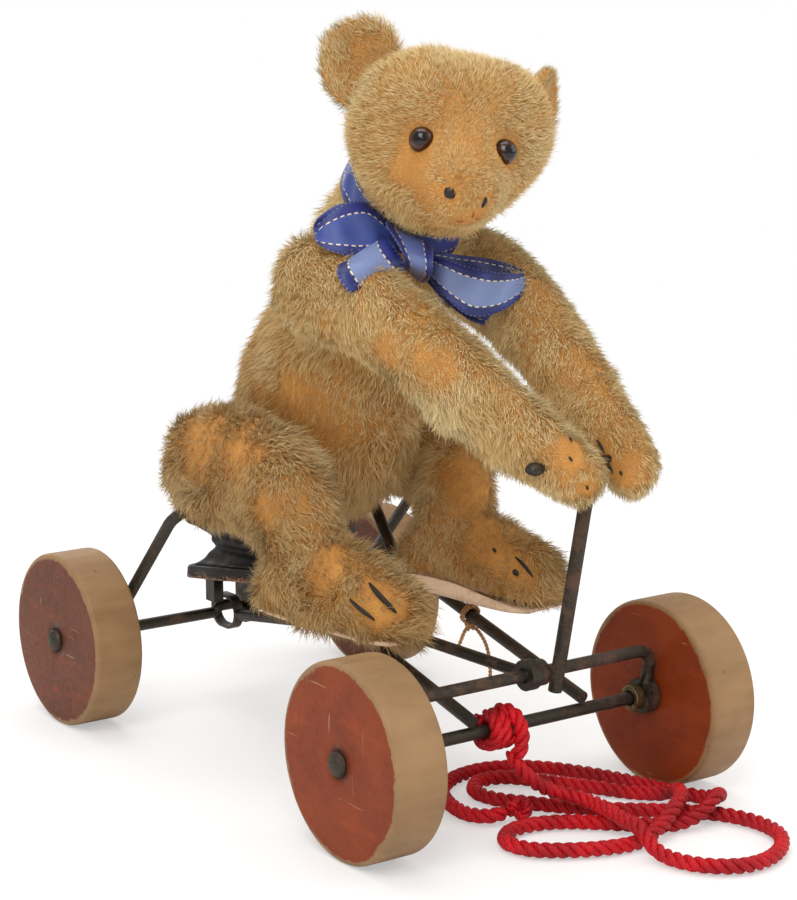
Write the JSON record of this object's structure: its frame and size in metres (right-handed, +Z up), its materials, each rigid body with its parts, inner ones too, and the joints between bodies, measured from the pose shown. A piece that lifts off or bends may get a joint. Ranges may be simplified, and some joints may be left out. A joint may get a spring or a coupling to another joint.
{
  "type": "pull toy",
  "caption": "Jointed teddy bear riding a wheeled pull cart; its arms work a swinging lever, with a red pull rope.",
  "frame": {"origin": "on the ground under the middle of the toy's length and width", "axes": "+Z up, -Y towards the front axle and the way the bear faces, +X towards the bear's left side"},
  "size_m": [0.1528, 0.2869, 0.2484],
  "materials": {
    "painted_wood": "worn red-brown stain on the faces, bare treads",
    "iron": "dark rods with rust",
    "aged_brass": "tarnished",
    "steel_bright": "dull bright handlebar",
    "plush": "golden mohair, worn in places",
    "felt": "felt",
    "leatherette": "black, cracked",
    "card": "card discs, hidden",
    "glass_eye": "dark brown, glossy",
    "ribbon": "blue satin with woven edges",
    "rope": "red three-strand cord",
    "twine": "natural string"
  },
  "bodies": {
    "cart": {"front_axle": "iron", "front_collar_right": "aged_brass", "front_collar_left": "aged_brass", "front_washer_right": "iron", "front_washer_left": "iron", "rear_washer_right": "iron", "rear_washer_left": "iron", "rail_right": "iron", "rail_left": "iron", "rear_bail": "iron", "seat_hanger": "iron", "bellows_lower_board": "leatherette", "bellows_leather": "leatherette", "right_leg": "plush", "left_leg": "plush", "right_sole": "felt", "left_sole": "felt", "hip_disc_right": "card", "hip_disc_left": "card", "twine_loop_right": "twine", "twine_loop_left": "twine", "foot_twine": "twine", "pull_rope": "rope", "rope_knot": "rope", "rope_end_knot": "rope"},
    "rear_axle": {"rear_axle": "iron", "rear_wheel_right": "painted_wood", "rear_wheel_left": "painted_wood"},
    "front_wheel_right": {"front_wheel_right": "painted_wood"},
    "front_wheel_left": {"front_wheel_left": "painted_wood"},
    "swing": {"swing_bail": "iron", "lever": "iron", "lever_collar": "iron", "handlebar": "steel_bright"},
    "connecting_rod": {"connecting_rod": "iron"},
    "torso": {"torso": "plush", "bellows_upper_board": "leatherette", "shoulder_disc_right": "card", "shoulder_disc_left": "card", "shoulder_pin_right": "iron", "shoulder_pin_left": "iron", "neck_disc": "card", "neck_pin": "iron", "neck_ribbon": "ribbon", "ribbon_bow": "ribbon"},
    "right_arm": {"right_arm": "plush"},
    "left_arm": {"left_arm": "plush"},
    "head": {"head": "plush", "right_ear": "plush", "left_ear": "plush", "right_eye": "glass_eye", "left_eye": "glass_eye"}
  },
  "joints": [
    {"name": "rear_axle_turn", "type": "hinge", "parent": "cart", "child": "rear_axle", "pos_m": [0, 0.0897, 0.031], "axis": [1, 0, 0], "continuous": true},
    {"name": "front_wheel_right_turn", "type": "hinge", "parent": "cart", "child": "front_wheel_right", "pos_m": [-0.0613, -0.0853, 0.031], "axis": [1, 0, 0], "continuous": true},
    {"name": "front_wheel_left_turn", "type": "hinge", "parent": "cart", "child": "front_wheel_left", "pos_m": [0.0613, -0.0853, 0.031], "axis": [1, 0, 0], "continuous": true},
    {"name": "swing", "type": "hinge", "parent": "cart", "child": "swing", "pos_m": [0, -0.0853, 0.031], "axis": [1, 0, 0], "range_deg": [-7, 7]},
    {"name": "rod_on_swing", "type": "hinge", "parent": "swing", "child": "connecting_rod", "pos_m": [-0.0026, -0.0903, 0.048], "axis": [1, 0, 0], "range_deg": [-7, 7]},
    {"name": "torso_rock", "type": "hinge", "parent": "cart", "child": "torso", "pos_m": [0, 0.0392, 0.084], "axis": [1, 0, 0], "range_deg": [-6.3, 6.3], "deforming": ["bellows_leather"]},
    {"name": "right_shoulder", "type": "hinge", "parent": "torso", "child": "right_arm", "pos_m": [-0.031, -0.0198, 0.163], "axis": [1, 0, 0], "range_deg": [-8.8, 8.8]},
    {"name": "left_shoulder", "type": "hinge", "parent": "torso", "child": "left_arm", "pos_m": [0.031, -0.0198, 0.163], "axis": [1, 0, 0], "range_deg": [-8.8, 8.8]},
    {"name": "neck", "type": "hinge", "parent": "torso", "child": "head", "pos_m": [0.0015, -0.0298, 0.1915], "axis": [0, -0.6157, 0.788], "continuous": true}
  ],
  "couplings": [
    {"joint": "rod_on_swing", "follows": "swing", "ratio": -1},
    {"joint": "torso_rock", "follows": "swing", "ratio": 0.891},
    {"joint": "right_shoulder", "follows": "swing", "ratio": -1.236},
    {"joint": "left_shoulder", "follows": "swing", "ratio": -1.236}
  ]
}
